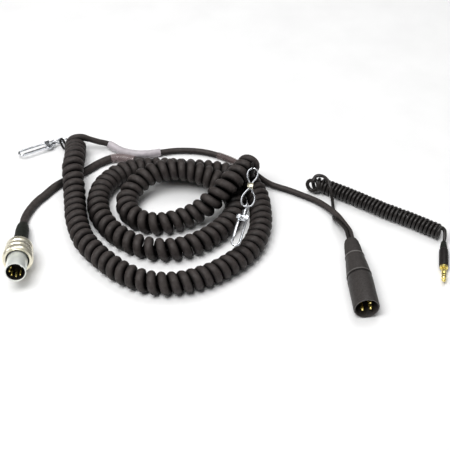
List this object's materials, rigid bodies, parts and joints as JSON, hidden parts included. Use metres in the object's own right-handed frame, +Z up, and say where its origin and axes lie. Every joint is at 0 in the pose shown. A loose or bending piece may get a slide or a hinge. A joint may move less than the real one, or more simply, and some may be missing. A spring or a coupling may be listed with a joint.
{
  "type": "curly audio cable with connectors",
  "caption": "Curly audio cable laid in a spiral, with a locking multi-pin plug, a three-pin connector, a thin curly mini-jack lead and snap hooks.",
  "frame": {"origin": "middle of the footprint, on the surface that the cable lies on", "axes": "+Z up; +X from the locking plug's side towards the mini jack; the connectors' mouths face -Y"},
  "size_m": [0.346, 0.2085, 0.0388],
  "materials": {
    "coil_jacket": "satin",
    "lead_jacket": "satin",
    "thin_jacket": "satin",
    "pale_sleeve": "matte",
    "clear_film": "gloss",
    "pale_film": "gloss",
    "boot_rubber": "matte",
    "nickel": "satin",
    "dark_insulator": "matte",
    "gold_plate": "gloss",
    "black_shell": "satin",
    "pale_insulator": "satin",
    "black_barrel": "satin",
    "tie_cord": "matte",
    "hook_chrome": "gloss",
    "ferrule_metal": "satin"
  },
  "bodies": {
    "root": {"main_coil": "coil_jacket", "plug_lead": "lead_jacket", "xlr_lead": "lead_jacket", "jack_lead": "thin_jacket", "jack_coil": "thin_jacket", "jack_tail": "thin_jacket", "label_sleeve": "pale_sleeve", "clear_sleeve": "clear_film", "plug_clear_sleeve": "pale_film", "plug_boot": "boot_rubber", "plug_back_shell": "nickel", "plug_cable_clamp": "nickel", "plug_front_sleeve": "nickel", "plug_insert": "dark_insulator", "plug_contacts": "gold_plate", "plug_ring_retainer": "nickel", "xlr_shell": "black_shell", "xlr_insert": "dark_insulator", "xlr_pins": "gold_plate", "xlr_chuck": "pale_insulator", "xlr_bushing": "black_shell", "xlr_boot": "boot_rubber", "jack_relief": "boot_rubber", "jack_barrel": "black_barrel", "jack_collar": "gold_plate", "jack_sleeve_contact": "gold_plate", "jack_insulators": "dark_insulator", "jack_ring_contact": "gold_plate", "jack_tip": "gold_plate", "hook_a_cord_tie": "tie_cord", "hook_a_link": "hook_chrome", "hook_a_ferrule": "ferrule_metal", "hook_b_cord_tie": "tie_cord", "hook_b_link": "hook_chrome", "hook_b_ferrule": "ferrule_metal"},
    "coupling_ring": {"plug_coupling_ring": "nickel"},
    "hook_a_eye": {"hook_a_eye": "hook_chrome"},
    "hook_a_snap": {"hook_a_body": "hook_chrome", "hook_a_pivot_pin": "hook_chrome", "hook_a_spring": "hook_chrome"},
    "hook_a_gate": {"hook_a_gate": "hook_chrome"},
    "hook_b_eye": {"hook_b_eye": "hook_chrome"},
    "hook_b_snap": {"hook_b_body": "hook_chrome", "hook_b_pivot_pin": "hook_chrome", "hook_b_spring": "hook_chrome"},
    "hook_b_gate": {"hook_b_gate": "hook_chrome"}
  },
  "joints": [
    {"name": "coupling_ring_turn", "type": "hinge", "parent": "root", "child": "coupling_ring", "pos_m": [-0.1531, -0.04882, 0.01342], "axis": [0.0781, -0.9712, 0.225], "continuous": true},
    {"name": "hook_a_lift", "type": "hinge", "parent": "root", "child": "hook_a_eye", "pos_m": [-0.14019, 0.0989, 0.00475], "axis": [-0.4924, 0.8704, 0], "range_deg": [0, 90]},
    {"name": "hook_a_swivel", "type": "hinge", "parent": "hook_a_eye", "child": "hook_a_snap", "pos_m": [-0.14636, 0.09506, 0.00475], "axis": [-0.8704, -0.4924, 0], "continuous": true},
    {"name": "hook_a_gate_open", "type": "hinge", "parent": "hook_a_snap", "child": "hook_a_gate", "pos_m": [-0.14802, 0.09068, 0.00475], "axis": [0, 0, -1], "range_deg": [0, 10], "stiffness_Nm_per_rad": 0.02, "springref_deg": -17.19},
    {"name": "hook_b_lift", "type": "hinge", "parent": "root", "child": "hook_b_eye", "pos_m": [0.01818, -0.01708, 0.03065], "axis": [-0.9681, 0.2504, 0], "range_deg": [0, 90]},
    {"name": "hook_b_swivel", "type": "hinge", "parent": "hook_b_eye", "child": "hook_b_snap", "pos_m": [0.01634, -0.02388, 0.02909], "axis": [-0.2449, -0.947, -0.2079], "continuous": true},
    {"name": "hook_b_gate_open", "type": "hinge", "parent": "hook_b_snap", "child": "hook_b_gate", "pos_m": [0.01256, -0.02653, 0.02834], "axis": [-0.0521, -0.2013, 0.9781], "range_deg": [0, 10], "stiffness_Nm_per_rad": 0.02, "springref_deg": -17.19}
  ]
}
